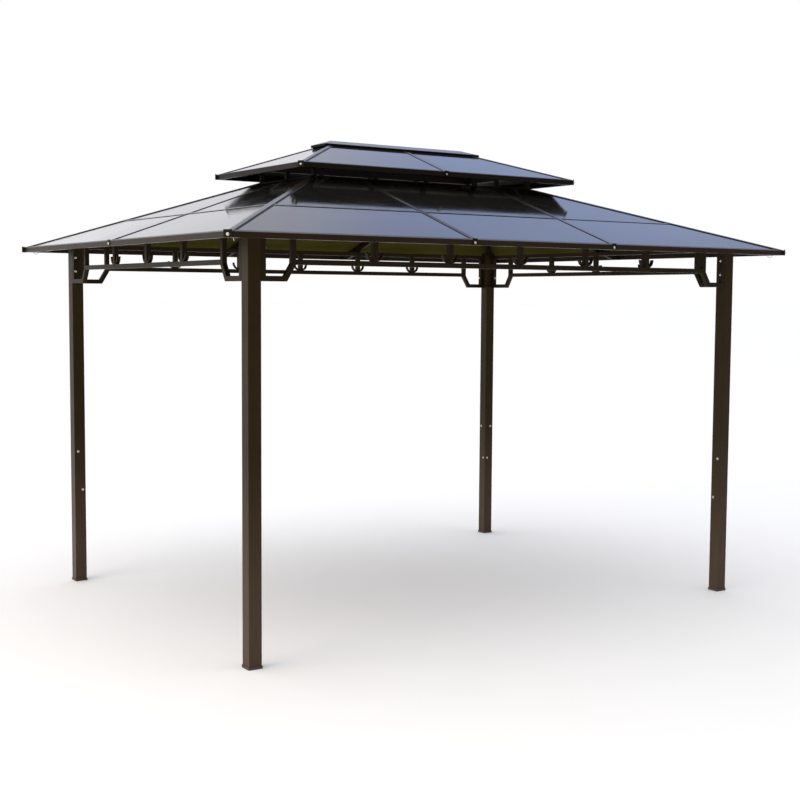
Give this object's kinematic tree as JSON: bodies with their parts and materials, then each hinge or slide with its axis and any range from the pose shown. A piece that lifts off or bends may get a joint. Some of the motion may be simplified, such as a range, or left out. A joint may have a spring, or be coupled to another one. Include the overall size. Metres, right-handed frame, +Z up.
{
  "type": "metal gazebo with a two-tier sheet roof",
  "caption": "Open rectangular garden gazebo: four square metal posts, braced side frames and a hipped sheet roof with a raised vent roof on top.",
  "frame": {"origin": "on the ground, in the middle of the four posts", "axes": "+X along the long side, +Y along the short side, +Z up"},
  "size_m": [3.9964, 3.0858, 2.9],
  "materials": {
    "post_metal": "powder coat, dark bronze, slightly textured",
    "frame_metal": "powder coat, dark bronze, slightly textured",
    "roof_sheet": "glossy bronze-tinted twin-wall polycarbonate",
    "foot_shoe": "dark moulded shoe"
  },
  "bodies": {
    "root": {"corner_brackets_back_left": "frame_metal", "corner_brackets_back_right": "frame_metal", "corner_brackets_front_left": "frame_metal", "corner_brackets_front_right": "frame_metal", "cross_seams": "frame_metal", "eave_end_caps": "frame_metal", "eave_fascia_back": "frame_metal", "eave_fascia_front": "frame_metal", "eave_fascia_left": "frame_metal", "eave_fascia_right": "frame_metal", "hip_rafters": "frame_metal", "lower_rail_back": "frame_metal", "lower_rail_front": "frame_metal", "lower_rail_left": "frame_metal", "lower_rail_right": "frame_metal", "post_back_left": "post_metal", "post_back_right": "post_metal", "post_feet": "foot_shoe", "post_front_left": "post_metal", "post_front_right": "post_metal", "ridge_beam": "frame_metal", "ridge_cap": "frame_metal", "roof_ribs": "frame_metal", "roof_sheets_back": "roof_sheet", "roof_sheets_front": "roof_sheet", "roof_sheets_left": "roof_sheet", "roof_sheets_right": "roof_sheet", "top_beam_back": "frame_metal", "top_beam_front": "frame_metal", "top_beam_left": "frame_metal", "top_beam_right": "frame_metal", "uprights_long_sides": "frame_metal", "uprights_short_sides": "frame_metal", "vent_fascia_long": "frame_metal", "vent_fascia_short": "frame_metal", "vent_frame_long": "frame_metal", "vent_frame_short": "frame_metal", "vent_hips": "frame_metal", "vent_ribs": "frame_metal", "vent_ring_long": "frame_metal", "vent_ring_short": "frame_metal", "vent_roof_sheets_long": "roof_sheet", "vent_roof_sheets_short": "roof_sheet", "vent_struts": "frame_metal"}
  },
  "joints": []
}
